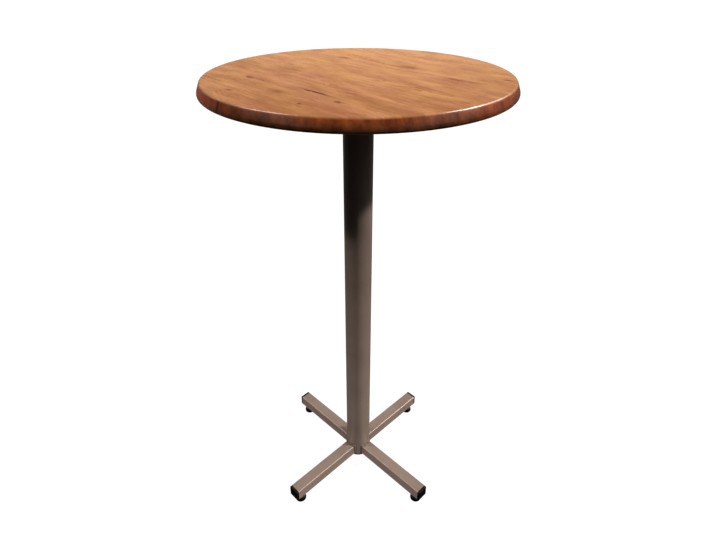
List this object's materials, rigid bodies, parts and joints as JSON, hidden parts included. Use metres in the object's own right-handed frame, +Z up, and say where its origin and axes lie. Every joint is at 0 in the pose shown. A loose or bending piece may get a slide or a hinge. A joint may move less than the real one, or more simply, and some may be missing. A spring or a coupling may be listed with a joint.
{
  "type": "pub table",
  "caption": "Bar-height round pedestal table: wood-decor moulded top, steel column, crossed square-tube legs and screw-adjustable levelling feet.",
  "frame": {"origin": "on the floor under the centre of the column, with the screw feet turned fully in", "axes": "+Z up, -Y to the front as the picture shows it, +X to the right; the legs lie at 45 degrees to X and Y"},
  "size_m": [0.61, 0.61, 1.067],
  "materials": {
    "oak_decor": "moulded top with a satin rustic oak decor",
    "bronze_coat": "metallic bronze-taupe powder coat on mild steel",
    "black_plastic": "moulded black polyethylene and nylon",
    "zinc_steel": "bright zinc plate",
    "brass_insert": "turned brass"
  },
  "bodies": {
    "frame": {"table_top": "oak_decor", "top_screws": "zinc_steel", "top_washers": "zinc_steel", "top_inserts": "brass_insert", "top_plate": "bronze_coat", "plate_weld": "bronze_coat", "column": "bronze_coat", "column_plug": "black_plastic", "leg_front_left": "bronze_coat", "leg_weld_front_left": "bronze_coat", "end_cap_front_left": "black_plastic", "foot_nut_front_left": "zinc_steel", "leg_front_right": "bronze_coat", "leg_weld_front_right": "bronze_coat", "end_cap_front_right": "black_plastic", "foot_nut_front_right": "zinc_steel", "leg_back_right": "bronze_coat", "leg_weld_back_right": "bronze_coat", "end_cap_back_right": "black_plastic", "foot_nut_back_right": "zinc_steel", "leg_back_left": "bronze_coat", "leg_weld_back_left": "bronze_coat", "end_cap_back_left": "black_plastic", "foot_nut_back_left": "zinc_steel"},
    "pad_front_left": {"foot_pad_front_left": "black_plastic"},
    "stud_front_left": {"foot_stud_front_left": "zinc_steel"},
    "pad_front_right": {"foot_pad_front_right": "black_plastic"},
    "stud_front_right": {"foot_stud_front_right": "zinc_steel"},
    "pad_back_right": {"foot_pad_back_right": "black_plastic"},
    "stud_back_right": {"foot_stud_back_right": "zinc_steel"},
    "pad_back_left": {"foot_pad_back_left": "black_plastic"},
    "stud_back_left": {"foot_stud_back_left": "zinc_steel"}
  },
  "joints": [
    {"name": "foot_drop_front_left", "type": "slide", "parent": "frame", "child": "pad_front_left", "axis": [0, 0, -1], "range_m": [0, 0.0125]},
    {"name": "foot_turn_front_left", "type": "hinge", "parent": "pad_front_left", "child": "stud_front_left", "pos_m": [-0.15203, -0.15203, 0.008], "axis": [0, 0, -1], "range_deg": [0, 3600]},
    {"name": "foot_drop_front_right", "type": "slide", "parent": "frame", "child": "pad_front_right", "axis": [0, 0, -1], "range_m": [0, 0.0125]},
    {"name": "foot_turn_front_right", "type": "hinge", "parent": "pad_front_right", "child": "stud_front_right", "pos_m": [0.15203, -0.15203, 0.008], "axis": [0, 0, -1], "range_deg": [0, 3600]},
    {"name": "foot_drop_back_right", "type": "slide", "parent": "frame", "child": "pad_back_right", "axis": [0, 0, -1], "range_m": [0, 0.0125]},
    {"name": "foot_turn_back_right", "type": "hinge", "parent": "pad_back_right", "child": "stud_back_right", "pos_m": [0.15203, 0.15203, 0.008], "axis": [0, 0, -1], "range_deg": [0, 3600]},
    {"name": "foot_drop_back_left", "type": "slide", "parent": "frame", "child": "pad_back_left", "axis": [0, 0, -1], "range_m": [0, 0.0125]},
    {"name": "foot_turn_back_left", "type": "hinge", "parent": "pad_back_left", "child": "stud_back_left", "pos_m": [-0.15203, 0.15203, 0.008], "axis": [0, 0, -1], "range_deg": [0, 3600]}
  ],
  "couplings": [
    {"joint": "foot_turn_front_left", "follows": "foot_drop_front_left", "rad_per_m": 5026.5},
    {"joint": "foot_turn_front_right", "follows": "foot_drop_front_right", "rad_per_m": 5026.5},
    {"joint": "foot_turn_back_right", "follows": "foot_drop_back_right", "rad_per_m": 5026.5},
    {"joint": "foot_turn_back_left", "follows": "foot_drop_back_left", "rad_per_m": 5026.5}
  ]
}
